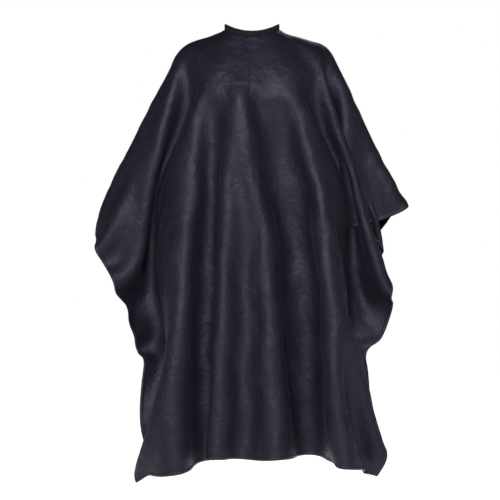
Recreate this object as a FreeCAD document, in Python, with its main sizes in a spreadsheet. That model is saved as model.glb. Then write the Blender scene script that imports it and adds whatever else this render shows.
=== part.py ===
"""Barber cape in its worn shape: a hemmed cloth hung from a neck band that snaps shut at the nape.

Millimetres, +Z up, the cape's front faces -Y. The origin is the centre of the neck opening.
The cloth is a plain closed wall of the drape's outer shape; the band, strap and snaps are real pieces.
"""

import FreeCAD
import Part
import Sketcher
import os
import re

doc = FreeCAD.newDocument("barber_cape")
sizes = doc.addObject("Spreadsheet::Sheet", "Sizes")

SIZES = {
    # Neck band: a tape folded over an elastic, round the neck in a four-arc oval, high at the sides.
    "neck_half_width": 74.0,
    "neck_half_depth": 61.0,
    "nape_radius": 82.0,
    "band_wall": 2.6,
    "tape_wall": 0.6,
    "band_height": 16.0,
    "band_dip": -14.0,
    "band_rise": 24.0,
    "band_end_gap": 2.0,
    "elastic_height": 9.0,
    "elastic_drop": 1.2,
    "elastic_end_gap": 3.0,
    "seam_allowance": 4.0,
    "fit_gap": 0.1,
    "neck_reach": 60.0,
    # Closure strap: angles round the nape, with zero at the slit and plus on the wearer's left.
    "strap_root": -13.0,
    "strap_ramp_end": 3.0,
    "strap_tip": 28.5,
    "strap_wall": 1.6,
    "strap_edge_margin": 0.8,
    "strap_root_gap": 0.3,
    # Snap fasteners, each measured along its own axis.
    "first_snap": 9.5,
    "snap_pitch": 11.5,
    "flange_radius": 4.6,
    "flange_wall": 0.5,
    "stud_radius": 1.6,
    "stud_height": 2.2,
    "stud_head_radius": 1.8,
    "stud_head_height": 0.7,
    "rivet_radius": 1.1,
    "rivet_head_radius": 3.8,
    "rivet_reach": 1.3,
    "seat_gap": 0.2,
    "socket_radius": 5.0,
    "socket_lift": 0.3,
    "socket_floor": 0.9,
    "socket_hole_radius": 2.7,
    "stud_tip_gap": 0.4,
    "spring_wire_radius": 0.25,
    "spring_offset": 2.2,
    "spring_drop": 0.2,
    "spring_length": 5.6,
    "cap_radius": 6.2,
    "cap_wall": 0.8,
    "cap_crown_radius": 4.8,
    "cap_crown_wall": 0.5,
    "cap_prong_reach": 0.5,
    # Cloth: wall, back slit, back hem, side hems and the bottom hem from its left corner to its right.
    "cloth_wall": 1.4,
    "slit_half_gap": 2.0,
    "slit_half_gap_low": 16.0,
    "nape_hem": -280.0,
    "back_corner_out": 340.0,
    "back_corner_down": -640.0,
    "side_hem_back": 15.0,
    "hem_left_out": -600.0,
    "hem_left_down": -1322.0,
    "hem_left_in": -143.0,
    "hem_left_up": -1176.0,
    "hem_step_in": -118.0,
    "hem_step_down": -1186.0,
    "hem_mid_out": 140.0,
    "hem_mid_down": -1197.0,
    "hem_lobe_in": 244.0,
    "hem_lobe_in_down": -1234.0,
    "hem_lobe_low": 310.0,
    "hem_lobe_low_down": -1260.0,
    "hem_lobe_out": 364.0,
    "hem_lobe_out_down": -1226.0,
    "clear_of_cape": 700.0,
    "below_cape": -1400.0,
    # Sizes that follow from the ones above.
    "nape_centre": "=neck_half_depth - nape_radius",
    "neck_side_radius": "=(nape_radius ^ 2 - neck_half_width ^ 2 - nape_centre ^ 2)"
                        " / (2 * (nape_radius - neck_half_width))",
    "neck_side_centre": "=neck_half_width - neck_side_radius",
    "saddle_radius": "=(neck_half_width ^ 2 + band_rise ^ 2) / (2 * band_rise)",
    "band_outer": "=nape_radius + band_wall",
    "stud_top": "=band_outer + flange_wall + stud_height",
    "socket_mouth": "=band_outer + flange_wall + socket_lift",
    "socket_hole_depth": "=stud_height - socket_lift + stud_tip_gap",
    "socket_wall": "=socket_hole_depth + socket_floor",
    "spring_inset": "=stud_height - socket_lift - stud_head_height - spring_drop",
    "strap_inner": "=socket_mouth + socket_wall + seat_gap",
    "strap_outer": "=strap_inner + strap_wall",
    "root_inner": "=band_outer + strap_root_gap",
    "root_outer": "=root_inner + strap_wall",
    "root_middle": "=root_inner + strap_wall / 2",
}

# The drape's stations from the neck down: height, and reach to the left, right, front and back.
STATIONS = {
    "collar": (-7.0, 76.0, 76.0, 30.0, 30.0),
    "slope": (-15.0, 118.0, 122.0, 44.0, 44.0),
    "yoke": (-32.0, 166.0, 184.0, 62.5, 62.5),
    "shoulder": (-64.0, 213.0, 227.0, 92.0, 90.0),
    "chest": (-150.0, 264.0, 276.0, 132.0, 110.0),
    "elbow": (-480.0, 400.0, 434.0, 156.0, 158.0),
    "cuff": (-563.0, 428.0, 378.0, 158.0, 150.0),
    "wing": (-616.0, 434.0, 366.0, 158.0, 140.0),
    "swag": (-750.0, 372.0, 398.0, 162.0, 110.0),
    "knee": (-940.0, 304.0, 330.0, 176.0, 70.0),
    "hem": (-1300.0, 332.0, 364.0, 186.0, 40.0),
}
STATION_CELLS = ("height", "left", "right", "front", "back")
SNAPS_ON_BAND = 4
SNAPS_ON_STRAP = 2


def fill_sheet():
    """Writes every driving size to its own named cell and returns the names."""
    rows = dict(SIZES)
    for station, reaches in STATIONS.items():
        for cell, size in zip(STATION_CELLS, reaches):
            rows[f"{station}_{cell}"] = size
    for row, (alias, size) in enumerate(rows.items(), start=1):
        sizes.set(f"A{row}", alias)
        sizes.set(f"B{row}", str(size))
        sizes.setAlias(f"B{row}", alias)
    doc.recompute()
    return set(rows)


names = fill_sheet()


def in_cells(text):
    """An expression with each size's name turned into a reference to its cell."""
    return re.sub(r"[a-z_]+", lambda word: f"Sizes.{word[0]}" if word[0] in names else word[0], text)


def bind(item, **expressions):
    """Binds properties to expressions in size names."""
    for name, text in expressions.items():
        item.setExpression(name, in_cells(text))
    return item


def add(kind, label, **expressions):
    item = doc.addObject(kind, label)
    item.Label = label
    return bind(item, **expressions)


def place(item, at=("0", "0", "0"), turn=("0", "0", "0")):
    """Binds a Placement: the point, then the turns about Z, Y and X in degrees."""
    point = "; ".join(at)
    angles = "; ".join(turn)
    item.setExpression("Placement", in_cells(
        f"create(<<placement>>; create(<<vector>>; {point}); create(<<rotation>>; {angles}))"))
    return item


def two_shapes(kind, label, base, tool):
    item = add(kind, label)
    item.Base = base
    item.Tool = tool
    return item


def cut(label, base, tool):
    return two_shapes("Part::Cut", label, base, tool)


def common(label, base, tool):
    return two_shapes("Part::Common", label, base, tool)


def fuse(label, shapes):
    item = add("Part::MultiFuse", label)
    item.Shapes = shapes
    return item


def group(label, shapes):
    """Separate solids of one kind kept together in one named piece."""
    item = add("Part::Compound", label)
    item.Links = shapes
    return item


def new_sketch(label, plane):
    """A body with an empty sketch on one of its own origin planes."""
    body = add("PartDesign::Body", label)
    sketch = body.newObject("Sketcher::SketchObject", f"{label}_sketch")
    support = [item for item in body.Origin.OriginFeatures if item.Role == plane][0]
    sketch.AttachmentSupport = [(support, "")]
    sketch.MapMode = "FlatFace"
    return body, sketch


def hold(sketch, kind, *where, to):
    """Adds one dimension to a sketch and binds it to an expression."""
    number = sketch.addConstraint(Sketcher.Constraint(kind, *where, read(to)))
    sketch.setExpression(f"Constraints[{number}]", in_cells(to))


def read(text):
    """The number an expression gives, for starting a sketch near its solution."""
    found = sizes.evalExpression(in_cells(text))
    return float(getattr(found, "Value", found))


def pad(body, sketch, length, both_ways=False, reverse=False):
    feature = body.newObject("PartDesign::Pad", f"{body.Label}_pad")
    feature.Profile = sketch
    feature.Reversed = reverse
    feature.setExpression("Length", in_cells(length))
    if both_ways:
        feature.SideType = "Symmetric"
    sketch.Visibility = False
    body.Tip = feature
    return body


def prism(label, plane, corners, length, both_ways=False, reverse=False):
    """A straight-sided outline, its corners given as expressions, padded to a solid."""
    body, sketch = new_sketch(label, plane)
    points = [FreeCAD.Vector(read(across), read(up), 0) for across, up in corners]
    count = len(points)
    for number, point in enumerate(points):
        sketch.addGeometry(Part.LineSegment(point, points[(number + 1) % count]), False)
    for number, (across, up) in enumerate(corners):
        sketch.addConstraint(Sketcher.Constraint("Coincident", number, 2, (number + 1) % count, 1))
        hold(sketch, "DistanceX", -1, 1, number, 1, to=across)
        hold(sketch, "DistanceY", -1, 1, number, 1, to=up)
    return pad(body, sketch, length, both_ways, reverse)


def neck_oval(label, grow):
    """The neck's four-arc oval, grown outward by an expression, as a tall plug."""
    body, sketch = new_sketch(label, "XY_Plane")
    reach = read(f"neck_side_centre / (nape_radius - neck_side_radius)")
    corner = FreeCAD.Vector(reach, (1 - reach ** 2) ** 0.5, 0)
    offset = read(grow)
    ends = [FreeCAD.Vector(x * corner.x, y * corner.y, 0) for x, y in ((1, 1), (-1, 1), (-1, -1), (1, -1))]
    centres = [("0", "nape_centre"), ("-1 * neck_side_centre", "0"),
               ("0", "-1 * nape_centre"), ("neck_side_centre", "0")]
    radii = ["nape_radius", "neck_side_radius"] * 2
    mids = [FreeCAD.Vector(0, 1, 0), FreeCAD.Vector(-1, 0, 0), FreeCAD.Vector(0, -1, 0), FreeCAD.Vector(1, 0, 0)]
    for number, (centre, radius) in enumerate(zip(centres, radii)):
        middle = FreeCAD.Vector(read(centre[0]), read(centre[1]), 0)
        size = read(radius) + offset
        start = middle + ends[number] * size
        finish = middle + ends[(number + 1) % 4] * size
        sketch.addGeometry(Part.Arc(start, middle + mids[number] * size, finish), False)
    for number in range(4):
        sketch.addConstraint(Sketcher.Constraint("Tangent", number, 2, (number + 1) % 4, 1))
    for number in (0, 2):
        hold(sketch, "Radius", number, to=f"nape_radius + {grow}")
        sketch.addConstraint(Sketcher.Constraint("PointOnObject", number, 3, -2))
        hold(sketch, "DistanceY", -1, 1, number, 3, to=centres[number][1])
    hold(sketch, "DistanceX", -1, 1, 1, 3, to=centres[1][0])
    hold(sketch, "DistanceX", -1, 1, 3, 3, to=centres[3][0])
    return place(pad(body, sketch, "2 * neck_reach", both_ways=True))


def neck_ring(label, inner, outer):
    return cut(label, neck_oval(f"{label}_outside", outer), neck_oval(f"{label}_inside", inner))


def above_saddle(label, height):
    """Everything above the saddle line that dips to a height in front and at the nape."""
    trough = add("Part::Cylinder", label, Radius="saddle_radius", Height="2 * clear_of_cape")
    return place(trough, at=("0", "-1 * clear_of_cape", f"{height} + saddle_radius"), turn=("0", "0", "-90"))


def saddle_strip(label, ring, low, high):
    """The strip of an upright ring between two saddle lines."""
    upper = common(f"{label}_above", ring, above_saddle(f"{label}_low", low))
    return cut(label, upper, above_saddle(f"{label}_high", high))


def nape_gap(label, half_gap):
    """The block that parts a ring at the nape."""
    block = add("Part::Box", label, Length=f"2 * {half_gap}", Width="clear_of_cape", Height="2 * neck_reach")
    return place(block, at=(f"-1 * {half_gap}", "0", "-1 * neck_reach"))


def nape_point(angle, radius, across="0", rise="0"):
    """A point on the nape arc, moved along it and upward, at the band's middle height."""
    shift = f"{radius} * sin({angle})"
    saddle = f"band_dip - band_height / 2 + saddle_radius - sqrt(saddle_radius ^ 2 - ({shift}) ^ 2)"
    level = saddle.replace(radius, "band_outer")
    return (f"{shift} + {across} * cos({angle})",
            f"nape_centre + {radius} * cos({angle}) - {across} * sin({angle})",
            f"{level} + {rise}")


def drum(label, angle, start, radius, length):
    """A round part on a snap's own axis, pointing out from the nape."""
    item = add("Part::Cylinder", label, Radius=radius, Height=length)
    return place(item, at=nape_point(angle, start), turn=(f"-1 * ({angle})", "0", "-90"))


def wire(label, angle, side, radius):
    """One straight spring wire across a socket's mouth."""
    item = add("Part::Cylinder", label, Radius=radius, Height="spring_length")
    place(item, at=nape_point(angle, "(socket_mouth + spring_inset)", "-1 * spring_length / 2",
                              f"{side} * spring_offset"),
          turn=(f"-1 * ({angle})", "90", "0"))
    return item


# Neck band: the folded tape, with a rivet hole for every stud.
snap_angles = [f"(first_snap + {number} * snap_pitch)" for number in range(SNAPS_ON_BAND)]
band_foot = "(band_dip - band_height)"


def rivet_holes(label):
    return fuse(label, [drum(f"{label}_{number}", angle, "(nape_radius - fit_gap)",
                             "rivet_radius + fit_gap", "band_wall + 2 * fit_gap")
                        for number, angle in enumerate(snap_angles)])


band_ring = saddle_strip("band_strip", neck_ring("band_ring", "0", "band_wall"), band_foot, "band_dip")
band_core = saddle_strip("band_pocket", neck_ring("pocket_ring", "tape_wall", "(band_wall - tape_wall)"),
                         f"{band_foot} - tape_wall", "band_dip - tape_wall")
band_folded = cut("band_folded", band_ring, band_core)
band_parted = cut("band_parted", band_folded, nape_gap("band_gap", "band_end_gap"))
neck_band = cut("neck_band", band_parted, rivet_holes("band_holes"))

# Elastic: the strip that fills the top of the folded tape.
elastic_top = "band_dip - tape_wall - elastic_drop"
elastic_ring = neck_ring("elastic_ring", "(tape_wall + fit_gap)", "(band_wall - tape_wall - fit_gap)")
elastic_strip = saddle_strip("elastic_strip", elastic_ring, f"{elastic_top} - elastic_height", elastic_top)
elastic_parted = cut("elastic_parted", elastic_strip, nape_gap("elastic_gap", "elastic_end_gap"))
neck_elastic = cut("neck_elastic", elastic_parted, rivet_holes("elastic_holes"))


# Snap studs on the band's far end, each held from inside by a rivet through tape and elastic.
def stud(number, angle):
    label = f"stud_{number}"
    face = "(band_outer + flange_wall)"
    solid = fuse(f"{label}_solid", [
        drum(f"{label}_flange", angle, "band_outer", "flange_radius", "flange_wall"),
        drum(f"{label}_post", angle, face, "stud_radius", "stud_height"),
        drum(f"{label}_head", angle, "(stud_top - stud_head_height)", "stud_head_radius", "stud_head_height")])
    bore = drum(f"{label}_bore", angle, "(band_outer - fit_gap)", "rivet_radius + fit_gap",
                "flange_wall + rivet_reach + 2 * fit_gap")
    return cut(label, solid, bore)


def rivet(number, angle):
    label = f"rivet_{number}"
    return fuse(label, [
        drum(f"{label}_head", angle, "(nape_radius - seat_gap - flange_wall)", "rivet_head_radius", "flange_wall"),
        drum(f"{label}_shank", angle, "(nape_radius - seat_gap)", "rivet_radius",
             "seat_gap + band_wall + flange_wall + rivet_reach")])


snap_studs = group("snap_studs", [stud(number, angle) for number, angle in enumerate(snap_angles)])
stud_rivets = group("stud_rivets", [rivet(number, angle) for number, angle in enumerate(snap_angles)])


# Closure strap: a ramp up from its sewn root, then an arc that carries the sockets.
def nape_corner(angle, radius):
    return (f"{radius} * sin({angle})", f"nape_centre + {radius} * cos({angle})")


def strap_drum(label, radius):
    sector = add("Part::Cylinder", label, Radius=radius, Height="2 * neck_reach",
                 Angle="strap_tip - strap_ramp_end")
    return place(sector, at=("0", "nape_centre", "-1 * neck_reach"), turn=("90 - strap_tip", "0", "0"))


strap_arc = cut("strap_arc", strap_drum("strap_outside", "strap_outer"), strap_drum("strap_inside", "strap_inner"))
strap_ramp = place(prism("strap_ramp", "XY_Plane", [
    nape_corner("strap_root", "root_inner"), nape_corner("strap_root", "root_outer"),
    nape_corner("strap_ramp_end", "strap_outer"), nape_corner("strap_ramp_end", "strap_inner")],
    "2 * neck_reach", both_ways=True))
root_fold = add("Part::Cylinder", "root_fold", Radius="strap_wall / 2", Height="2 * neck_reach")
place(root_fold, at=nape_corner("strap_root", "root_middle") + ("-1 * neck_reach",))
strap_tall = fuse("strap_tall", [strap_arc, strap_ramp, root_fold])
strap_strip = saddle_strip("strap_strip", strap_tall, f"{band_foot} + strap_edge_margin",
                           "band_dip - strap_edge_margin")
strap_angles = snap_angles[:SNAPS_ON_STRAP]
prong_holes = fuse("prong_holes", [drum(f"prong_hole_{number}", angle, "(strap_inner - fit_gap)",
                                        "rivet_radius + fit_gap", "strap_wall + 2 * fit_gap")
                                   for number, angle in enumerate(strap_angles)])
closure_strap = cut("closure_strap", strap_strip, prong_holes)


# Snap sockets on the strap's inside, spring wires in them, and a cap outside that clinches each one.
def socket(number, angle):
    label = f"socket_{number}"
    hole = drum(f"{label}_hole", angle, "socket_mouth", "socket_hole_radius", "socket_hole_depth")
    prong = drum(f"{label}_prong", angle, "(strap_inner - cap_prong_reach - fit_gap)",
                 "rivet_radius + fit_gap", "cap_prong_reach + 2 * fit_gap")
    grooves = [wire(f"{label}_groove_{side}", angle, side, "spring_wire_radius + fit_gap / 2")
               for side in ("-1", "1")]
    return cut(label, drum(f"{label}_solid", angle, "socket_mouth", "socket_radius", "socket_wall"),
               fuse(f"{label}_hollow", [hole, prong] + grooves))


def cap(number, angle):
    label = f"cap_{number}"
    return fuse(label, [
        drum(f"{label}_rim", angle, "strap_outer", "cap_radius", "cap_wall"),
        drum(f"{label}_crown", angle, "(strap_outer + cap_wall)", "cap_crown_radius", "cap_crown_wall"),
        drum(f"{label}_prong", angle, "(strap_inner - cap_prong_reach)", "rivet_radius",
             "strap_wall + cap_prong_reach")])


snap_sockets = group("snap_sockets", [socket(number, angle) for number, angle in enumerate(strap_angles)])
socket_springs = group("socket_springs", [wire(f"spring_{number}_{side}", angle, side, "spring_wire_radius")
                                          for number, angle in enumerate(strap_angles) for side in ("-1", "1")])
snap_caps = group("snap_caps", [cap(number, angle) for number, angle in enumerate(strap_angles)])


# Cloth: a thin wall between two drapes, open at the neck, at the back slit and below the back hem.
def drape(label, wall):
    """The draped outline through every station, drawn in all round and lowered by a wall."""
    rings = []
    for station in STATIONS:
        half_width = f"({station}_left + {station}_right) / 2"
        half_depth = f"({station}_front + {station}_back) / 2"
        ring = add("Part::Ellipse", f"{label}_{station}", MajorRadius=f"{half_width} - {wall}",
                   MinorRadius=f"{half_depth} - {wall}")
        rings.append(place(ring, at=(f"({station}_right - {station}_left) / 2",
                                     f"({station}_back - {station}_front) / 2",
                                     f"{station}_height - {wall}")))
    solid = add("Part::Loft", label)
    solid.Sections = rings
    solid.Solid = True
    solid.Ruled = True
    return solid


outside = fuse("outside", [drape("outer_drape", "0"),
                           neck_oval("neck_outside", "(band_wall - tape_wall - fit_gap)")])
inside = fuse("inside", [drape("inner_drape", "cloth_wall"), neck_oval("neck_inside", "(tape_wall + fit_gap)")])
shell = cut("shell", outside, inside)
neck_edge = cut("neck_edge", shell, above_saddle("neck_trim", f"{band_foot} + seam_allowance"))
band_room = saddle_strip("band_room", neck_ring("room_ring", "-1 * fit_gap", "(band_wall + fit_gap)"),
                         f"{band_foot} - fit_gap", "band_height")
seam_room = cut("seam_room", band_room, neck_ring("seam_ring", "(tape_wall + fit_gap)",
                                                  "(band_wall - tape_wall - fit_gap)"))
neck_seam = cut("neck_seam", neck_edge, seam_room)

slit = prism("slit", "XZ_Plane", [
    ("-1 * slit_half_gap", "clear_of_cape"), ("slit_half_gap", "clear_of_cape"),
    ("slit_half_gap", "band_dip - band_height"), ("slit_half_gap_low", "nape_hem"),
    ("slit_half_gap_low", "below_cape"), ("-1 * slit_half_gap_low", "below_cape"),
    ("-1 * slit_half_gap_low", "nape_hem"), ("-1 * slit_half_gap", "band_dip - band_height")],
    "clear_of_cape", reverse=True)
back_gap = place(prism("back_gap", "XZ_Plane", [
    ("0", "nape_hem"), ("back_corner_out", "back_corner_down"), ("clear_of_cape", "back_corner_down"),
    ("clear_of_cape", "below_cape"), ("-1 * clear_of_cape", "below_cape"),
    ("-1 * clear_of_cape", "back_corner_down"), ("-1 * back_corner_out", "back_corner_down")],
    "clear_of_cape", reverse=True), at=("0", "side_hem_back", "0"))
below_hem = prism("below_hem", "XZ_Plane", [
    ("hem_left_out", "hem_left_down"), ("hem_left_in", "hem_left_up"), ("hem_step_in", "hem_step_down"),
    ("hem_mid_out", "hem_mid_down"), ("hem_lobe_in", "hem_lobe_in_down"),
    ("hem_lobe_low", "hem_lobe_low_down"), ("hem_lobe_out", "hem_lobe_out_down"),
    ("clear_of_cape", "hem_lobe_out_down"), ("clear_of_cape", "below_cape"), ("hem_left_out", "below_cape")],
    "2 * clear_of_cape", both_ways=True)
cape_sheet = cut("cape_sheet", neck_seam, fuse("cloth_openings", [slit, back_gap, below_hem]))

PIECES = [cape_sheet, neck_band, neck_elastic, snap_studs, stud_rivets,
          closure_strap, snap_caps, snap_sockets, socket_springs]

doc.recompute()
for item in doc.Objects:
    if "Invalid" in item.State or "Error" in item.State:
        raise RuntimeError(f"{item.Label} did not build")

os.makedirs("parts", exist_ok=True)
for piece in PIECES:
    if piece.Shape.isNull() or not piece.Shape.isValid():
        raise RuntimeError(f"{piece.Label} has no valid shape")
    piece.Shape.exportStep(f"parts/{piece.Label}.step")
    box = piece.Shape.BoundBox
    print(piece.Label, len(piece.Shape.Solids), round(piece.Shape.Volume, 1),
          [round(edge, 1) for edge in (box.XMin, box.XMax, box.YMin, box.YMax, box.ZMin, box.ZMax)])
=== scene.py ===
import math
import bmesh
import bpy
import numpy as np
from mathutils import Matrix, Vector


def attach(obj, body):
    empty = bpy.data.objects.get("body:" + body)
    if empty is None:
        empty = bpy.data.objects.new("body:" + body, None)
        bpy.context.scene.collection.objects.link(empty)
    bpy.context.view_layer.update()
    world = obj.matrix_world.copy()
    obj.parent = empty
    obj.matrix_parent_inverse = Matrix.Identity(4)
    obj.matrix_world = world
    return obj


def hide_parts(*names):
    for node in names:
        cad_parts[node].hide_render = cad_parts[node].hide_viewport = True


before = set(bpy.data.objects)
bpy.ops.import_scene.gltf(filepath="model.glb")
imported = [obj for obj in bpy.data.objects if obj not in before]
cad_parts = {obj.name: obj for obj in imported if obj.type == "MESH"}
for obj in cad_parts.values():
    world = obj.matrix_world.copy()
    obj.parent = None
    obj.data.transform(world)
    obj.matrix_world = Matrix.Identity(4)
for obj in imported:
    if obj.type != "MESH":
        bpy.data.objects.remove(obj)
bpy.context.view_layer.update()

# ---- the cut of the cloth, in metres: across (u) and along (v), from the middle of the neck hole ----
HALF_WIDTH = 0.70
FRONT_LENGTH = 1.24
BACK_LENGTH = 0.36
HEM_RISE = 0.075         # the front hem is cut this much shorter at its corners
NECK_HOLE = 0.066

# ---- the neck line that the cloth is sewn to ----
NECK_X = 0.0748
NECK_Y = 0.0618
NECK_LOW = -0.028
NECK_RISE = 0.024
SLIT_GAP = 0.004         # share of the neck line open at the slit

# ---- smoothing of the hung cloth: rounds all over, and more on the flat between neck and chest ----
IRONING = 7
YOKE_IRONING = 60
YOKE_HALF_WIDTH = 0.13
YOKE_TOP = -0.085
YOKE_FOOT = -0.235

# ---- the solver ----
COARSE = 0.02            # grid steps
FINE = 0.01
GRAVITY = 9.8
TOP_SPEED = 3.0
SEWING_TIME = 0.2        # seconds in which the neck hole is drawn to the neck line
SHEAR = 0.35
LAYER_GAP = 0.008
LAYER_EVERY = 12         # steps between two looks at the layers
LAYER_APART = 2.2        # grid steps in the flat cloth past which two points are two layers
FREE = math.nan

# ---- what the cape hangs over: rods with rounded ends (from, to, radius at each end) ----
FORM = [
    ((0, 0, 0.05), (0, 0, -0.06), 0.055, 0.058),
    ((-0.05, 0.005, -0.042), (-0.168, 0.005, -0.078), 0.040, 0.040),
    ((0.05, 0.005, -0.042), (0.186, 0.005, -0.080), 0.040, 0.040),
    ((-0.165, -0.015, -0.082), (-0.093, -0.105, -0.188), 0.032, 0.026),
    ((0.180, -0.015, -0.082), (0.105, -0.105, -0.190), 0.032, 0.026),
    ((-0.093, -0.105, -0.188), (0.105, -0.105, -0.190), 0.026, 0.026),
    ((-0.05, -0.03, -0.060), (-0.09, -0.08, -0.13), 0.040, 0.040),
    ((0.05, -0.03, -0.060), (0.09, -0.08, -0.13), 0.040, 0.040),
    ((0, -0.03, -0.068), (0, -0.085, -0.15), 0.030, 0.040),
    ((-0.07, 0.01, -0.18), (-0.07, 0.01, -0.9), 0.075, 0.075),
    ((0.07, 0.01, -0.18), (0.07, 0.01, -0.9), 0.075, 0.075),
    ((-0.10, 0.01, -0.16), (0.10, 0.01, -0.16), 0.085, 0.085),
    ((-0.07, -0.052, -0.075), (0.07, -0.052, -0.075), 0.028, 0.028),
    ((-0.085, -0.078, -0.130), (0.09, -0.078, -0.130), 0.028, 0.028),
    ((-0.188, 0.005, -0.095), (-0.378, -0.02, -0.555), 0.034, 0.028),
    ((0.194, 0.005, -0.082), (0.392, 0.01, -0.465), 0.034, 0.022),
]

# ---- folds of the front: (u, x, y) under the chest, (u, x, y) at the hem ----
FOLDS = [
    ((-0.170, -0.143, -0.12), (-0.522, -0.215, -0.150)),
    ((-0.125, -0.110, -0.11), (-0.325, -0.115, -0.010)),
    ((-0.100, -0.088, -0.14), (-0.158, -0.092, -0.150)),
    ((-0.060, -0.045, -0.14), (-0.106, -0.070, -0.115)),
    ((0.020, 0.010, -0.14), (0.017, 0.040, -0.150)),
    ((0.125, 0.115, -0.11), (0.219, 0.135, -0.005)),
    ((0.170, 0.150, -0.12), (0.429, 0.230, -0.150)),
]
FOLD_TOP = -0.235
FOLD_STEPS = (0.25, 0.5, 0.75, 1.0)
FOLD_PULL = 0.01

# ---- the front panel's side folds and the hollows behind them: (u, v, x, y) ----
PANEL = [
    (-0.30, -0.38, -0.232, -0.085), (-0.34, -0.50, -0.236, -0.095), (-0.37, -0.62, -0.242, -0.10),
    (-0.38, -0.34, -0.262, 0.0), (-0.43, -0.46, -0.272, 0.012), (-0.47, -0.58, -0.280, 0.012),
    (0.30, -0.38, 0.232, -0.085), (0.35, -0.50, 0.242, -0.095), (0.39, -0.62, 0.254, -0.10),
    (0.38, -0.34, 0.266, 0.0), (0.44, -0.46, 0.278, 0.012),
]
PANEL_PULL = 0.01

# ---- a flat limit behind, which keeps the back flaps near the depth of the CAD sheet ----
BACK_LIMIT = 0.156

# ---- where the side hems hang: u, v, then x, y, z (FREE where it is not held), pull ----
SIDES = [
    (0.70, 0.36, 0.270, 0.09, FREE, 0.02),
    (0.70, 0.24, 0.353, 0.07, -0.575, 0.03),
    (0.70, 0.12, 0.430, 0.02, -0.480, 0.04),
    (0.62, 0.10, 0.404, 0.02, -0.425, 0.02),
    (0.70, 0.00, 0.362, 0.02, -0.550, 0.03),
    (0.70, -0.20, 0.338, 0.08, FREE, 0.02),
    (0.70, -0.38, 0.350, 0.07, FREE, 0.02),
    (0.64, -0.26, 0.350, -0.02, FREE, 0.02),
    (0.65, -0.42, 0.370, -0.03, FREE, 0.02),
    (0.70, -0.592, 0.396, -0.01, -0.762, 0.05),
    (0.70, -0.72, 0.362, 0.02, FREE, 0.02),
    (0.70, -0.845, 0.325, 0.02, -0.946, 0.03),
    (0.70, -1.04, 0.338, -0.02, FREE, 0.02),
    (0.70, -1.24, 0.350, -0.01, FREE, 0.03),
    (0.60, -1.24, 0.318, -0.07, FREE, 0.02),
    (-0.55, -0.26, -0.358, -0.02, -0.436, 0.01),
    (-0.70, -0.20, -0.390, 0.03, FREE, 0.02),
    (-0.70, -0.31, -0.430, 0.00, -0.598, 0.03),
    (-0.70, -0.40, -0.427, -0.02, -0.645, 0.03),
    (-0.70, -0.05, -0.330, 0.06, FREE, 0.02),
    (-0.70, -0.57, -0.367, -0.02, -0.753, 0.03),
    (-0.70, -0.70, -0.330, 0.01, FREE, 0.02),
    (-0.70, -0.845, -0.300, 0.00, -0.930, 0.03),
    (-0.70, -1.04, -0.312, -0.02, FREE, 0.02),
    (-0.70, -1.24, -0.322, -0.02, FREE, 0.03),
    (-0.60, -1.24, -0.282, -0.08, FREE, 0.02),
]


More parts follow.
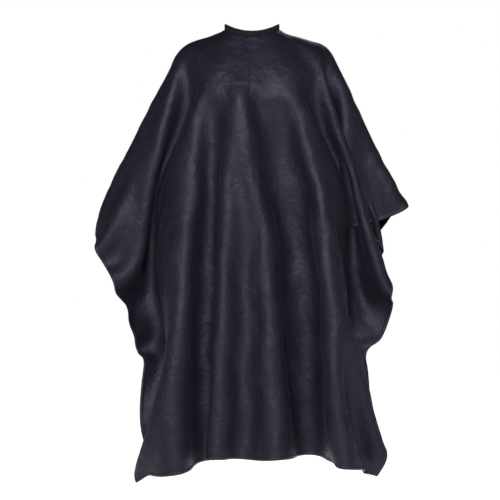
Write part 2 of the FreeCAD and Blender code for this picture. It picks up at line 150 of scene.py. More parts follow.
class Sheet:
    """A grid of the cut cloth, with the neck hole out of it and the slit from the hole to the back."""

    def __init__(self, step):
        self.step = step
        self.nx = int(round(2 * HALF_WIDTH / step)) // 2 * 2 + 1
        self.ny = int(round((FRONT_LENGTH + BACK_LENGTH) / step)) + 1
        self.us = np.linspace(-HALF_WIDTH, HALF_WIDTH, self.nx)
        self.vs = np.linspace(-FRONT_LENGTH, BACK_LENGTH, self.ny)
        self.mid = self.nx // 2
        u, v = np.meshgrid(self.us, self.vs)
        keep = np.hypot(u, v) >= NECK_HOLE - 0.35 * step
        rows = np.flatnonzero(keep[:, self.mid] & (self.vs > 0))
        self.index = -np.ones((2, self.ny, self.nx), int)
        self.index[0][keep] = np.arange(keep.sum())
        self.index[1] = self.index[0]
        self.index[1][rows, self.mid] = keep.sum() + np.arange(len(rows))
        slit = np.stack([np.zeros(len(rows)), self.vs[rows]], 1)
        self.grid = np.concatenate([np.stack([u[keep], v[keep]], 1), slit])
        self.right = np.arange(len(self.grid)) >= keep.sum()
        radius = np.hypot(*self.grid.T)
        near = radius < NECK_HOLE + 0.5 * step
        self.grid[near] *= (NECK_HOLE / radius[near])[:, None]
        self.neck = np.flatnonzero(near)
        self.flat = self.grid.copy()
        front = np.clip(-self.grid[:, 1] / FRONT_LENGTH, 0, 1)
        self.flat[:, 1] += HEM_RISE * front ** 2 * np.abs(self.grid[:, 0] / HALF_WIDTH) ** 1.3
        quads = []
        for side, first, last in ((0, 0, self.mid), (1, self.mid, self.nx - 1)):
            j, i = np.meshgrid(np.arange(self.ny - 1), np.arange(first, last), indexing="ij")
            n = self.index[side]
            q = np.stack([n[j, i], n[j, i + 1], n[j + 1, i + 1], n[j + 1, i]], -1).reshape(-1, 4)
            quads.append(q[(q >= 0).all(1)])
        self.quads = np.concatenate(quads)

    def links(self, bend, shear):
        """Batches of (a, b, rest length, stiffness, only pushes), no point twice in a batch."""
        found = []
        for dj, di, stiff, pushes in (
            (0, 1, 0.5, False), (1, 0, 0.5, False), (1, 1, 0.5 * shear, False), (1, -1, 0.5 * shear, False),
            (0, 2, 0.5 * bend, True), (2, 0, 0.5 * bend, True), (0, 4, 0.5 * bend, True), (4, 0, 0.5 * bend, True),
        ):
            j, i = [x.ravel() for x in np.meshgrid(np.arange(self.ny), np.arange(self.nx), indexing="ij")]
            ok = (j + dj < self.ny) & (i + di >= 0) & (i + di < self.nx)
            j, i = j[ok], i[ok]
            left = (i <= self.mid) & (i + di <= self.mid)
            right = (i >= self.mid) & (i + di >= self.mid)
            across = ~left & ~right & (self.vs[j] < -NECK_HOLE) & (self.vs[j + dj] < -NECK_HOLE)
            side = np.where((left & ~right) | across, 0, 1)
            use = left | right | across
            a = self.index[side, j, i][use]
            b = self.index[side, j + dj, i + di][use]
            turn = ((j // dj) % 2 if di == 0 else (j % 2 if dj else (i // di) % 2))[use]
            if di == 0:
                twin = (i == self.mid) & (self.vs[j] > 0)
                a = np.concatenate([a, self.index[0, j[twin], i[twin]]])
                b = np.concatenate([b, self.index[0, j[twin] + dj, i[twin]]])
                turn = np.concatenate([turn, (j[twin] // dj) % 2])
            middle = (self.flat[a] + self.flat[b]) / 2
            ok = (a >= 0) & (b >= 0) & ((not pushes) | (np.hypot(*middle.T) > NECK_HOLE))
            for c in (0, 1):
                pick = ok & (turn == c)
                rest = np.linalg.norm(self.flat[a[pick]] - self.flat[b[pick]], axis=1)
                found.append((a[pick], b[pick], rest, stiff, pushes))
        return found


def neck_points(sheet):
    """Where each point of the neck hole is sewn: along a saddle-shaped oval, by share of its length."""
    angle = np.arctan2(sheet.grid[sheet.neck, 0], -sheet.grid[sheet.neck, 1])
    slit = np.abs(np.abs(angle) - np.pi) < 1e-6
    share = (angle / (2 * np.pi)) % 1.0
    share[slit] = 0.5 + np.where(sheet.right[sheet.neck[slit]], -SLIT_GAP, SLIT_GAP)
    turn = np.linspace(0, 2 * np.pi, 721)
    x, y = NECK_X * np.sin(turn), -NECK_Y * np.cos(turn)
    run = np.concatenate([[0], np.cumsum(np.hypot(np.diff(x), np.diff(y)))])
    px = np.interp(share, run / run[-1], x)
    py = np.interp(share, run / run[-1], y)
    return np.stack([px, py, NECK_LOW + NECK_RISE * (px / NECK_X) ** 2], -1)


def keep_out(p, before, friction):
    """Pushes the cloth out of the form, holding back its sliding there, and in from the back limit."""
    for a, b, ra, rb in FORM:
        a, b = np.array(a, float), np.array(b, float)
        r = max(ra, rb)
        low, high = np.minimum(a, b) - r, np.maximum(a, b) + r
        near = np.flatnonzero((p[:, 2] > low[2]) & (p[:, 2] < high[2])
                              & (p[:, 0] > low[0]) & (p[:, 0] < high[0]))
        axis = b - a
        t = np.clip(((p[near] - a) @ axis) / (axis @ axis), 0, 1)
        away = p[near] - (a + t[:, None] * axis)
        far = np.linalg.norm(away, axis=1) + 1e-9
        depth = ra + t * (rb - ra) - far
        hit = depth > 0
        k, depth = near[hit], depth[hit]
        n = away[hit] / far[hit][:, None]
        moved = p[k] + depth[:, None] * n
        slide = moved - before[k]
        slide -= (slide * n).sum(1)[:, None] * n
        size = np.linalg.norm(slide, axis=1) + 1e-12
        p[k] = moved - slide * np.minimum(1, friction * depth / size)[:, None]
    p[:, 1] = np.minimum(p[:, 1], BACK_LIMIT)


def keep_apart(p, sheet, free, gap=LAYER_GAP):
    """Layers that are far apart in the flat cloth stay a gap apart as they hang."""
    cell = np.floor(p / gap).astype(np.int64)
    cell -= cell.min(0)
    span = cell.max(0) + 3
    key = (cell[:, 0] * span[1] + cell[:, 1]) * span[2] + cell[:, 2]
    order = np.argsort(key, kind="stable")
    ranked = key[order]
    move, count = np.zeros_like(p), np.zeros(len(p))
    for dx in (-1, 0, 1):
        for dy in (-1, 0, 1):
            for dz in (-1, 0, 1):
                step = (dx * span[1] + dy) * span[2] + dz
                if step < 0:
                    continue
                first = np.searchsorted(ranked, key + step, "left")
                n = np.searchsorted(ranked, key + step, "right") - first
                for k in range(min(n.max(), 6)):
                    i = np.flatnonzero(n > k)
                    j = order[first[i] + k]
                    ok = (i != j) if step else (i < j)
                    i, j = i[ok], j[ok]
                    apart = p[i] - p[j]
                    spread = sheet.flat[i] - sheet.flat[j]
                    near = ((apart ** 2).sum(1) < gap ** 2) & (
                        (spread ** 2).sum(1) > (LAYER_APART * sheet.step) ** 2)
                    i, j, apart = i[near], j[near], apart[near]
                    far = np.linalg.norm(apart, axis=1) + 1e-9
                    push = (0.5 * (gap - far) / far)[:, None] * apart
                    np.add.at(move, i, push)
                    np.add.at(move, j, -push)
                    np.add.at(count, i, 1)
                    np.add.at(count, j, 1)
    hit = (count > 0) & free
    p[hit] += move[hit] / count[hit][:, None]


def pulls(sheet, radius):
    """The folds and side hems as soft pulls on patches of the cloth."""
    rows = list(SIDES) + [(u, v, x, y, FREE, PANEL_PULL) for u, v, x, y in PANEL]
    for top, low in FOLDS:
        for t in FOLD_STEPS:
            u, x, y = [a + (b - a) * t for a, b in zip(top, low)]
            rows.append((u, FOLD_TOP - (FRONT_LENGTH + FOLD_TOP) * t, x, y, FREE, FOLD_PULL))
    found = []
    for u, v, x, y, z, pull in rows:
        d = np.hypot(sheet.grid[:, 0] - u, sheet.grid[:, 1] - v)
        near = np.flatnonzero((d < 2 * radius) & ((sheet.grid[:, 0] * u > 0) | (sheet.grid[:, 1] < 0)))
        target = np.array([x, y, z], float)
        held = ~np.isnan(target)
        share = np.exp(-(d[near] / radius) ** 2)[:, None] * pull
        found.append((d.argmin(), near, share, np.where(held, target, 0), held))
    return found


def hang(sheet, p, speed, steps, dt, damp, friction, bend, radius=0.03, pull=(0, 0)):
    """Position-based cloth: gravity, links, the neck seam, the form, layers, and the pulls."""
    links = sheet.links(bend, SHEAR)
    seam = neck_points(sheet)
    start = p[sheet.neck].copy()
    gap = np.linalg.norm(sheet.flat[:, None] - sheet.flat[None, sheet.neck], axis=2)
    nearest = sheet.neck[gap.argmin(1)]
    reach = gap.min(1) * 1.001
    reach[sheet.neck] = 1e9
    held = pulls(sheet, radius) if max(pull) > 0 else []
    free = np.ones(len(p), bool)
    free[sheet.neck] = False
    for k in range(steps):
        before = p.copy()
        speed[:, 2] -= GRAVITY * dt
        speed *= 1 - damp * dt
        p = p + speed * dt
        sewn = start + (seam - start) * min(1, (k + 1) * dt / SEWING_TIME)
        p[sheet.neck] = sewn
        for a, b, rest, stiff, pushes in links:
            e = p[b] - p[a]
            length = np.sqrt(np.einsum("ij,ij->i", e, e)) + 1e-12
            error = length - rest
            if pushes:
                np.minimum(error, 0, out=error)
            e *= (stiff * error / length)[:, None]
            p[a] += e
            p[b] -= e
        p[sheet.neck] = sewn
        d = p - p[nearest]
        length = np.sqrt(np.einsum("ij,ij->i", d, d)) + 1e-12
        over = length > reach
        p[over] -= d[over] * (1 - reach[over] / length[over])[:, None]
        now = pull[0] + (pull[1] - pull[0]) * k / steps
        for c, near, share, target, axes in held:
            p[near] += share * ((target - p[c]) * axes * now)
        keep_out(p, before, friction)
        if k % LAYER_EVERY == LAYER_EVERY - 1:
            keep_apart(p, sheet, free)
        speed = (p - before) / dt
        size = np.sqrt(np.einsum("ij,ij->i", speed, speed))
        fast = size > TOP_SPEED
        speed[fast] *= (TOP_SPEED / size[fast])[:, None]
    return p, speed


def refine(old, p, step):
    """The same hang on a finer grid."""
    new = Sheet(step)
    field = np.full((2, old.ny, old.nx, 3), np.nan)
    for side in (0, 1):
        ok = old.index[side] >= 0
        field[side][ok] = p[old.index[side][ok]]
        j, i = np.where(~ok)
        at = np.stack([old.us[i], old.vs[j]], 1)
        field[side][j, i] = p[old.neck[((at[:, None] - old.grid[None, old.neck]) ** 2).sum(2).argmin(1)]]
    fx = (new.grid[:, 0] + HALF_WIDTH) / (old.us[1] - old.us[0])
    fy = (new.grid[:, 1] + FRONT_LENGTH) / (old.vs[1] - old.vs[0])
    i = np.clip(fx.astype(int), 0, old.nx - 2)
    j = np.clip(fy.astype(int), 0, old.ny - 2)
    side = np.where((new.grid[:, 0] > 1e-9) | new.right, 1, 0)
    middle = (np.abs(new.grid[:, 0]) < 1e-9) & (side == 0)
    i[middle] = old.mid - 1
    tx, ty = (fx - i)[:, None], (fy - j)[:, None]
    return new, (field[side, j, i] * (1 - tx) * (1 - ty) + field[side, j, i + 1] * tx * (1 - ty)
                 + field[side, j + 1, i] * (1 - tx) * ty + field[side, j + 1, i + 1] * tx * ty)


def iron(sheet, p, rounds, where=1.0):
    """Takes out small ruffles: each point moves towards its neighbours, and an edge point along its edge."""
    count = np.zeros(len(p), int)
    pairs = np.concatenate([np.stack([a, b], 1) for a, b, *_ in sheet.links(0, 0)[:4]])
    np.add.at(count, pairs.ravel(), 1)
    edge = count < 4
    corner = count < 3
    pairs = np.concatenate([pairs, pairs[:, ::-1]])
    pairs = pairs[~edge[pairs[:, 0]] | edge[pairs[:, 1]]]
    near = np.bincount(pairs[:, 0], minlength=len(p))
    fixed = np.zeros(len(p), bool)
    fixed[sheet.neck] = True
    fixed[(near < 2) | corner] = True
    share = np.where(fixed, 0.0, 0.5 * where)[:, None]
    for k in range(rounds):
        total = np.zeros_like(p)
        np.add.at(total, pairs[:, 0], p[pairs[:, 1]])
        p = p + share * (total / np.maximum(near, 1)[:, None] - p)
    return p


def yoke(sheet):
    """One on the flat of the cloth between the neck and the chest, fading to nothing round it."""
    u, v = sheet.grid.T
    middle = (YOKE_TOP + YOKE_FOOT) / 2
    half = (YOKE_TOP - YOKE_FOOT) / 2
    return np.exp(-(u / YOKE_HALF_WIDTH) ** 4 - ((v - middle) / half) ** 4)


def drape():
    """The flat cloth falls over the form, is led to its folds, and is hung again on a finer grid."""
    sheet = Sheet(COARSE)
    p = np.concatenate([sheet.grid, np.full((len(sheet.grid), 1), 0.01)], 1)
    p[:, 2] += 0.002 * np.sin(37 * sheet.grid[:, 0]) * np.cos(29 * sheet.grid[:, 1])
    p, speed = hang(sheet, p, np.zeros_like(p), 800, 0.0015, 2, 0.2, 0.02)
    p, speed = hang(sheet, p, speed, 700, 0.0015, 4, 0.15, 0.04, pull=(0, 1))
    sheet, p = refine(sheet, p, FINE)
    p, speed = hang(sheet, p, np.zeros_like(p), 400, 0.001, 6, 0.3, 0.08, 0.035, (1, 1))
    p, speed = hang(sheet, p, speed, 150, 0.001, 8, 0.4, 0.08, 0.035, (1, 0.6))
    p = iron(sheet, p, IRONING)
    return sheet, iron(sheet, p, YOKE_IRONING, yoke(sheet))


# ---- helpers -------------------------------------------------------------------------------------
def new_object(name, verts, faces, smooth=True):
    mesh = bpy.data.meshes.new(name)
    mesh.from_pydata([tuple(v) for v in verts], [], [tuple(f) for f in faces])
    mesh.polygons.foreach_set("use_smooth", [smooth] * len(mesh.polygons))
    obj = bpy.data.objects.new(name, mesh)
    bpy.context.scene.collection.objects.link(obj)
    return obj


def positions(mesh):
    flat = np.empty(len(mesh.vertices) * 3)
    mesh.vertices.foreach_get("co", flat)
    return flat.reshape(-1, 3)


def normals(mesh):
    flat = np.empty(len(mesh.vertices) * 3)
    mesh.vertex_normals.foreach_get("vector", flat)
    return flat.reshape(-1, 3)


def set_uv(mesh, name, per_vertex):
    corners = np.empty(len(mesh.loops), int)
    mesh.loops.foreach_get("vertex_index", corners)
    layer = mesh.uv_layers.new(name=name)
    layer.uv.foreach_set("vector", np.ascontiguousarray(per_vertex[corners]).ravel())


def get_uv(mesh, name):
    corners = np.empty(len(mesh.loops), int)
    mesh.loops.foreach_get("vertex_index", corners)
    found = np.empty(len(mesh.loops) * 2)
    mesh.uv_layers[name].uv.foreach_get("vector", found)
    out = np.zeros((len(mesh.vertices), 2))
    out[corners] = found.reshape(-1, 2)
    return out


def apply_modifiers(obj):
    shape = obj.evaluated_get(bpy.context.evaluated_depsgraph_get())
    mesh = bpy.data.meshes.new_from_object(shape)
    obj.modifiers.clear()
    obj.data = mesh


def cad_object(node):
    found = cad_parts[node]
    return found if hasattr(found, "data") else bpy.data.objects[found]


def ripple(at, scale, seed):
    """Smooth repeatable waves in a plane, about -1 to 1: a few crossing sines of unlike directions."""
    random = np.random.default_rng(seed)
    total = np.zeros(len(at))
    for k in range(7):
        turn, phase = random.uniform(0, 2 * np.pi, 2)
        size = scale * random.uniform(0.6, 1.6)
        total += np.sin((at[:, 0] * np.cos(turn) + at[:, 1] * np.sin(turn)) * 2 * np.pi / size + phase)
    return total / 3.5


# ---- materials -----------------------------------------------------------------------------------
class Nodes:
    """A short way to write a node tree."""

    def __init__(self, name):
        self.material = bpy.data.materials.new(name)
        self.material.use_nodes = True
        self.tree = self.material.node_tree
        self.shader = self.tree.nodes["Principled BSDF"]

    def add(self, kind, inputs=None, **settings):
        node = self.tree.nodes.new(kind)
        for key, value in settings.items():
            setattr(node, key, value)
        for key, value in (inputs or {}).items():
            if hasattr(value, "links"):
                self.tree.links.new(value, node.inputs[key])
            else:
                node.inputs[key].default_value = value
        return node

    def math(self, kind, a, b=0.0):
        node = self.add("ShaderNodeMath", {0: a, 1: b}, operation=kind)
        return node.outputs[0]

    def mix(self, share, a, b):
        node = self.add("ShaderNodeMix", data_type="RGBA")
        for key, value in ((0, share), (6, a), (7, b)):
            if hasattr(value, "links"):
                self.tree.links.new(value, node.inputs[key])
            else:
                node.inputs[key].default_value = value
        return node.outputs[2]

    def spread(self, value, low, high, out_low, out_high):
        node = self.add("ShaderNodeMapRange", {0: value, 1: low, 2: high, 3: out_low, 4: out_high})
        return node.outputs[0]

    def set(self, **values):
        for key, value in values.items():
            socket = self.shader.inputs[key.replace("_", " ")]
            if hasattr(value, "links"):
                self.tree.links.new(value, socket)
            else:
                socket.default_value = value
        return self

    def bump(self, height, strength, distance, before=None):
        inputs = {"Strength": strength, "Distance": distance, "Height": height}
        if before is not None:
            inputs["Normal"] = before
        return self.add("ShaderNodeBump", inputs).outputs[0]


def nylon(name, deep, light, rough, weave=0.0004):
    """Plain-weave nylon taffeta: close threads, a dry crumple and a soft satin face."""
    n = Nodes(name)
    uv = n.add("ShaderNodeUVMap", uv_map="Cloth").outputs[0]
    split = n.add("ShaderNodeSeparateXYZ", {0: uv})
    u, v = split.outputs[0], split.outputs[1]
    warp = n.math("SINE", n.math("MULTIPLY", u, 2 * math.pi / weave))
    weft = n.math("SINE", n.math("MULTIPLY", v, 2 * math.pi / weave))
    threads = n.math("MULTIPLY", warp, weft)
    drawn = n.add("ShaderNodeVectorMath", {0: uv, 1: (60, 1400, 1)}, operation="MULTIPLY").outputs[0]
    slubs = n.add("ShaderNodeTexNoise", {"Vector": drawn, "Scale": 1.0, "Detail": 2.0})
    cloud = n.add("ShaderNodeTexNoise", {"Vector": uv, "Scale": 9.0, "Detail": 4.0, "Roughness": 0.55})
    crumple = n.add("ShaderNodeTexNoise", {"Vector": uv, "Scale": 34.0, "Detail": 5.0, "Roughness": 0.55,
                                           "Distortion": 0.6})
    creases = n.add("ShaderNodeTexVoronoi", {"Vector": uv, "Scale": 11.0, "Randomness": 1.0}, feature="SMOOTH_F1")
    creases.inputs["Smoothness"].default_value = 0.35
    tone = n.math("ADD", n.math("MULTIPLY", cloud.outputs[0], 0.7), n.math("MULTIPLY", slubs.outputs[0], 0.3))
    colour = n.mix(n.spread(tone, 0.3, 0.7, 0.0, 1.0), (*deep, 1), (*light, 1))
    roughness = n.spread(cloud.outputs[0], 0.3, 0.7, rough - 0.04, rough + 0.05)
    ruck = n.add("ShaderNodeTexNoise", {"Vector": uv, "Scale": 110.0, "Detail": 3.0, "Roughness": 0.5,
                                        "Distortion": 0.8})
    broad = n.bump(n.math("ADD", crumple.outputs[0], n.math("MULTIPLY", creases.outputs[0], 0.9)), 0.6, 0.006)
    small = n.bump(ruck.outputs[0], 0.5, 0.0012, broad)
    fine = n.bump(threads, 0.25, 0.00005, small)
    n.set(Base_Color=colour, Roughness=roughness, Normal=fine)
    n.shader.inputs["IOR"].default_value = 1.45
    n.shader.inputs["Specular IOR Level"].default_value = 0.42
    n.shader.inputs["Specular Tint"].default_value = (0.80, 0.76, 1.0, 1)
    n.shader.inputs["Sheen Weight"].default_value = 0.02
    n.shader.inputs["Sheen Roughness"].default_value = 0.45
    n.shader.inputs["Sheen Tint"].default_value = (0.75, 0.78, 1.0, 1)
    return n.material


def tape(name, colour, light):
    """Folded woven tape: a twill rib with a little fluff."""
    n = Nodes(name)
    at = n.add("ShaderNodeTexCoord").outputs["Object"]
    wave = n.add("ShaderNodeTexWave", {"Vector": at, "Scale": 420.0, "Distortion": 1.2, "Detail": 2.0},
                 bands_direction="DIAGONAL")
    fluff = n.add("ShaderNodeTexNoise", {"Vector": at, "Scale": 900.0, "Detail": 3.0})
    blend = n.math("MULTIPLY", wave.outputs[1], fluff.outputs[0])
    n.set(Base_Color=n.mix(blend, (*colour, 1), (*light, 1)),
          Roughness=n.spread(fluff.outputs[0], 0.3, 0.7, 0.7, 0.9),
          Normal=n.bump(wave.outputs[1], 0.5, 0.0004, n.bump(fluff.outputs[0], 0.3, 0.0003)))
    n.shader.inputs["Sheen Weight"].default_value = 0.03
    n.shader.inputs["Sheen Roughness"].default_value = 0.6
    n.shader.inputs["Specular IOR Level"].default_value = 0.25
    return n.material


def metal(name, colour, rough, scratch):
    """Plated steel: fine turning marks and small dull spots from handling."""
    n = Nodes(name)
    at = n.add("ShaderNodeTexCoord").outputs["Object"]
    marks = n.add("ShaderNodeTexNoise", {"Vector": at, "Scale": 1800.0, "Detail": 4.0})
    wear = n.add("ShaderNodeTexNoise", {"Vector": at, "Scale": 260.0, "Detail": 3.0})
    n.set(Base_Color=n.mix(n.spread(wear.outputs[0], 0.45, 0.75, 0.0, 1.0), (*colour, 1),
                           (*(c * 0.72 for c in colour), 1)),
          Roughness=n.spread(wear.outputs[0], 0.35, 0.7, rough, rough + 0.18),
          Normal=n.bump(marks.outputs[0], scratch, 0.0001))
    n.shader.inputs["Metallic"].default_value = 1.0
    return n.material


def rubber(name, colour):
    """Covered elastic: fine lengthwise cords under a fuzzy knit."""
    n = Nodes(name)
    at = n.add("ShaderNodeTexCoord").outputs["Object"]
    cords = n.add("ShaderNodeTexWave", {"Vector": at, "Scale": 500.0, "Distortion": 0.3}, bands_direction="Z")
    knit = n.add("ShaderNodeTexNoise", {"Vector": at, "Scale": 1200.0, "Detail": 2.0})
    n.set(Base_Color=n.mix(knit.outputs[0], (*colour, 1), (*(c * 1.6 for c in colour), 1)), Roughness=0.75,
          Normal=n.bump(cords.outputs[1], 0.6, 0.0004, n.bump(knit.outputs[0], 0.3, 0.0002)))
    return n.material


CLOTH_DEEP = (0.0060, 0.0053, 0.0098)
CLOTH_LIGHT = (0.0105, 0.0094, 0.0165)
CLOTH_ROUGH = 0.56
cloth_look = nylon("black_nylon", CLOTH_DEEP, CLOTH_LIGHT, CLOTH_ROUGH)
# The hem's colours are lighter than the cloth's: a painted highlight for the thin line of light that the folded
# hem edge catches.
hem_look_painted_highlight = nylon("black_nylon_hem_painted_highlight", (0.010, 0.009, 0.015), (0.018, 0.016, 0.027), CLOTH_ROUGH - 0.03)
band_look = tape("black_band_tape", (0.0015, 0.0015, 0.002), (0.006, 0.006, 0.008))
strap_look = tape("black_strap_tape", (0.006, 0.006, 0.008), (0.018, 0.018, 0.023))
elastic_look = rubber("black_elastic", (0.012, 0.012, 0.014))
snap_look = metal("plated_snap", (0.60, 0.60, 0.61), 0.16, 0.05)
spring_look = metal("spring_steel", (0.42, 0.41, 0.40), 0.30, 0.12)

# ---- the cape ------------------------------------------------------------------------------------
HEM_WIDTH = 0.011
CLOTH_THICKNESS = 0.0004
HEM_THICKNESS = 0.0015
CREASE_HEIGHT = 0.0012
CREASE_WIDTH = 0.0045
PACKING_CREASES = ((-0.215, 0.10), (-0.342, 0.17))

sheet, hung = drape()
cape = new_object("cape_cloth", hung, sheet.quads)
set_uv(cape.data, "Cloth", sheet.flat)
set_uv(cape.data, "Grid", sheet.grid)
rounder = cape.modifiers.new("round", "SUBSURF")
rounder.levels = rounder.render_levels = 1
rounder.uv_smooth = "PRESERVE_BOUNDARIES"
apply_modifiers(cape)

at = get_uv(cape.data, "Grid")
out = normals(cape.data)
if (out * positions(cape.data))[np.abs(at[:, 1] + 0.5) < 0.1].sum(0)[1] < 0:
    out = -out


def crease(distance, width=CREASE_WIDTH):
    return np.exp(-(distance / width) ** 2)


radius = np.hypot(at[:, 0], at[:, 1])
turn = np.arctan2(at[:, 0], -at[:, 1])
lift = CREASE_HEIGHT * crease(at[:, 0]) * (at[:, 1] < -0.10)
for line, reach in PACKING_CREASES:
    lift = lift - 0.7 * CREASE_HEIGHT * crease(at[:, 1] - line) * np.exp(-(at[:, 0] / reach) ** 4)
lift = lift + 0.0005 * ripple(at, 0.045, 3) + 0.0009 * ripple(at, 0.11, 8)
gather = np.sin(turn * 46 + 2.2 * np.sin(turn * 5)) * (0.6 + 0.4 * np.sin(turn * 9 + 1))
lift = lift + 0.0013 * gather * np.exp(-((radius - NECK_HOLE) / 0.020) ** 2) * (radius > NECK_HOLE + 0.003)
moved = positions(cape.data) - out * lift[:, None]
cape.data.vertices.foreach_set("co", moved.ravel())
cape.data.update()

# The hem: the cloth's edge folded over, along every side and both sides of the slit.
edge = np.minimum.reduce([
    HALF_WIDTH - np.abs(at[:, 0]), at[:, 1] + FRONT_LENGTH, BACK_LENGTH - at[:, 1],
    np.where(at[:, 1] > NECK_HOLE, np.abs(at[:, 0]), 1.0)])
hem = cape.copy()
hem.data = cape.data.copy()
hem.name = hem.data.name = "cape_hem"
bpy.context.scene.collection.objects.link(hem)
cutter = bmesh.new()
cutter.from_mesh(hem.data)
inner = edge > HEM_WIDTH
gone = [f for f in cutter.faces if any(inner[v.index] for v in f.verts)]
bmesh.ops.delete(cutter, geom=gone, context="FACES")
cutter.to_mesh(hem.data)
cutter.free()
for obj, wall in ((cape, CLOTH_THICKNESS), (hem, HEM_THICKNESS)):
    obj.data.uv_layers.remove(obj.data.uv_layers["Grid"])
    solid = obj.modifiers.new("wall", "SOLIDIFY")
    solid.thickness = wall
    solid.offset = 0.0
    apply_modifiers(obj)
cape.data.materials.append(cloth_look)
hem.data.materials.append(hem_look_painted_highlight)

# ---- the neck band -------------------------------------------------------------------------------
NAPE_RADIUS = 0.082
NECK_HALF_WIDTH = 0.074
NECK_HALF_DEPTH = 0.061
BAND_WALL = 0.0026
BAND_HEIGHT = 0.016
BAND_DIP = -0.014
BAND_RISE = 0.024
BAND_RIBS = 104
RIB_DEPTH = 0.00042
RIB_TOP = 0.0007         # how far a rib stands up at the rolled edge
BAND_GAP = 0.001         # half of the opening at the nape

nape_centre = NECK_HALF_DEPTH - NAPE_RADIUS
side_radius = (NAPE_RADIUS ** 2 - NECK_HALF_WIDTH ** 2 - nape_centre ** 2) / (
    2 * (NAPE_RADIUS - NECK_HALF_WIDTH))
side_centre = NECK_HALF_WIDTH - side_radius
saddle = (NECK_HALF_WIDTH ** 2 + BAND_RISE ** 2) / (2 * BAND_RISE)
meeting = side_centre / (NAPE_RADIUS - side_radius)


def band_point(angle):
    """The band's inner line at a direction round the neck, zero at the front: a four-arc oval on a saddle."""
    nx, ny = math.sin(angle), -math.cos(angle)
    if abs(nx) <= meeting:
        x, y = nx * NAPE_RADIUS, (nape_centre if ny > 0 else -nape_centre) + ny * NAPE_RADIUS
    else:
        x, y = math.copysign(side_centre, nx) + nx * side_radius, ny * side_radius
    top = BAND_DIP + saddle - math.sqrt(saddle ** 2 - x ** 2)
    return Vector((x, y, top)), Vector((nx, ny, 0))


def band_mesh(name, ribs=BAND_RIBS, around=832):
    """A gathered tape: upright walls whose ribs fade to the stitched foot, with a rolled top edge."""
    stop = math.pi - BAND_GAP / NAPE_RADIUS
    ring = [(0.0, -1.0), (0.0, -0.82), (0.0, -0.5), (0.0, -0.2), (0.1, -0.06), (0.32, 0.0),
            (0.68, 0.0), (0.9, -0.06), (1.0, -0.2), (1.0, -0.5), (1.0, -0.82), (1.0, -1.0)]
    verts, faces = [], []
    for k in range(around + 1):
        angle = -stop + 2 * stop * k / around
        at, n = band_point(angle)
        phase = angle / (2 * math.pi) * ribs * 2 * math.pi + 1.3 * math.sin(angle * 7)
        rib = 0.5 + 0.5 * math.sin(phase)
        for across, up in ring:
            fade = 1 - max(0.0, (-up - 0.78) / 0.22) * 0.75
            swell = RIB_DEPTH * rib * fade
            depth = across * BAND_WALL + (swell if across > 0.5 else -swell)
            tall = up * BAND_HEIGHT + (RIB_TOP * rib if up > -0.3 else 0.0)
            verts.append(at + n * depth + Vector((0, 0, tall)))
    count = len(ring)
    for k in range(around):
        for r in range(count):
            a, b = k * count + r, k * count + (r + 1) % count
            faces.append((a, b, b + count, a + count))
    faces.append(tuple(range(count - 1, -1, -1)))
    faces.append(tuple(around * count + r for r in range(count)))
    return new_object(name, verts, faces)


band = band_mesh("gathered_band")
band.data.materials.append(band_look)

# ---- the closure strap ---------------------------------------------------------------------------
def copy_of(node, name):
    """A free copy of a CAD node's mesh, to be shaped further."""
    source = cad_object(node)
    obj = bpy.data.objects.new(name, source.data.copy())
    obj.data.name = name
    obj.matrix_world = source.matrix_world.copy()
    bpy.context.scene.collection.objects.link(obj)
    return obj


strap = copy_of("closure_strap", "snap_strap")
soften = strap.modifiers.new("edges", "BEVEL")
soften.width = 0.0005
soften.segments = 3
soften.limit_method = "ANGLE"
apply_modifiers(strap)
strap.data.materials.clear()
strap.data.materials.append(strap_look)

# ---- which body each piece rides on, and what it stands for ---------------------------------------
for piece, node, body, slot in (
    (cape, "cape_sheet", "cape", "nylon_cloth"),
    (hem, None, "cape", "nylon_cloth"),
    (band, "neck_band", "cape", "band_tape"),
    (strap, "closure_strap", "closure_tab", "band_tape"),
):
    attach(piece, body)
    if node:
        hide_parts(node)

for node, look in (
    ("neck_elastic", elastic_look), ("snap_studs", snap_look), ("stud_rivets", snap_look),
    ("snap_caps", snap_look), ("snap_sockets", snap_look), ("socket_springs", spring_look),
):
    for slot in cad_object(node).material_slots:
        slot.material = look

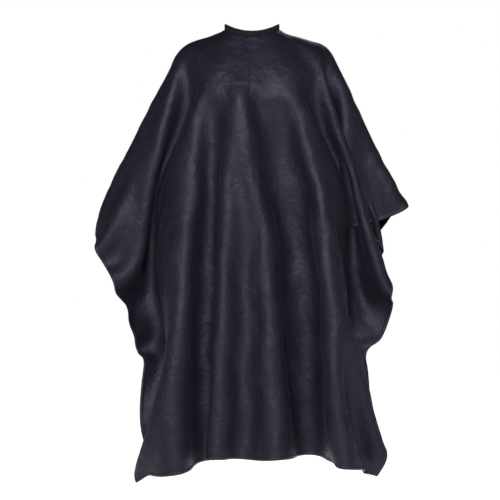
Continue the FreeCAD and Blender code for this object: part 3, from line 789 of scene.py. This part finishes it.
# ---- floor, light and camera ---------------------------------------------------------------------
FLOOR = -1.46
FLOOR_REACH = 9.0
GLOW_FROM = -0.9
GLOW_FULL = 1.2
GLOW_LEAST = 0.14
FLOOR_GLOW = 1.0
WORLD_LIGHT = 0.02       # what the white surroundings light the cape with
SOFTBOXES = [            # name, place, what it faces, size, watts
    ("key", (-0.4, -4.4, 1.2), (0, 0, -0.5), (0.8, 0.8), 225.0),
    ("rim", (3.2, -1.2, 0.8), (0.2, 0, -0.5), (0.6, 1.6), 6.0),
    ("side", (-3.4, -1.6, 0.4), (-0.2, 0, -0.6), (0.6, 1.6), 4.0),
    ("back", (1.2, 3.6, 1.6), (0, 0, -0.5), (1.4, 1.4), 50.0),
]
pale = Nodes("pale_floor")
grain = pale.add("ShaderNodeTexNoise", {"Scale": 60.0, "Detail": 3.0})
pale.set(Base_Color=pale.mix(grain.outputs[0], (0.88, 0.88, 0.88, 1), (0.92, 0.92, 0.92, 1)), Roughness=0.9)
pale.shader.inputs["Emission Color"].default_value = (1, 1, 1, 1)
place = pale.add("ShaderNodeSeparateXYZ", {0: pale.add("ShaderNodeTexCoord").outputs["Object"]})
pale.set(Emission_Strength=pale.spread(place.outputs[1], GLOW_FROM, GLOW_FULL, GLOW_LEAST, FLOOR_GLOW))
corners = [(x * FLOOR_REACH, y * FLOOR_REACH, FLOOR) for x, y in ((-1, -1), (1, -1), (1, 1), (-1, 1))]
floor = new_object("studio_floor", corners, [(0, 1, 2, 3)], smooth=False)
floor.data.materials.append(pale.material)


def softbox(name, at, aim, size, watts):
    light = bpy.data.lights.new(name, "AREA")
    light.shape = "RECTANGLE"
    light.size, light.size_y = size
    light.energy = watts
    obj = bpy.data.objects.new(name, light)
    bpy.context.scene.collection.objects.link(obj)
    obj.location = at
    obj.rotation_euler = (Vector(aim) - Vector(at)).to_track_quat("-Z", "Y").to_euler()


for row in SOFTBOXES:
    softbox(*row)

world = bpy.data.worlds.new("studio")
world.use_nodes = True
tree = world.node_tree
backdrop = tree.nodes["Background"]
backdrop.inputs[0].default_value = (1, 1, 1, 1)
room = tree.nodes.new("ShaderNodeMapRange")
tree.links.new(tree.nodes.new("ShaderNodeLightPath").outputs["Is Camera Ray"], room.inputs[0])
room.inputs[3].default_value = WORLD_LIGHT
tree.links.new(room.outputs[0], backdrop.inputs[1])
bpy.context.scene.world = world
bpy.context.scene.view_settings.view_transform = "Standard"

CAMERA_DISTANCE = 6.0
VIEW_HEIGHT = 1.4
CAMERA_ACROSS = -0.0056
CAMERA_UP = -0.6216
camera_data = bpy.data.cameras.new("camera")
camera_data.sensor_width = 36.0
camera_data.lens = camera_data.sensor_width * CAMERA_DISTANCE / VIEW_HEIGHT
camera = bpy.data.objects.new("camera", camera_data)
camera.location = (CAMERA_ACROSS, -CAMERA_DISTANCE, CAMERA_UP)
camera.rotation_euler = (math.pi / 2, 0, 0)
bpy.context.scene.collection.objects.link(camera)
bpy.context.scene.camera = camera
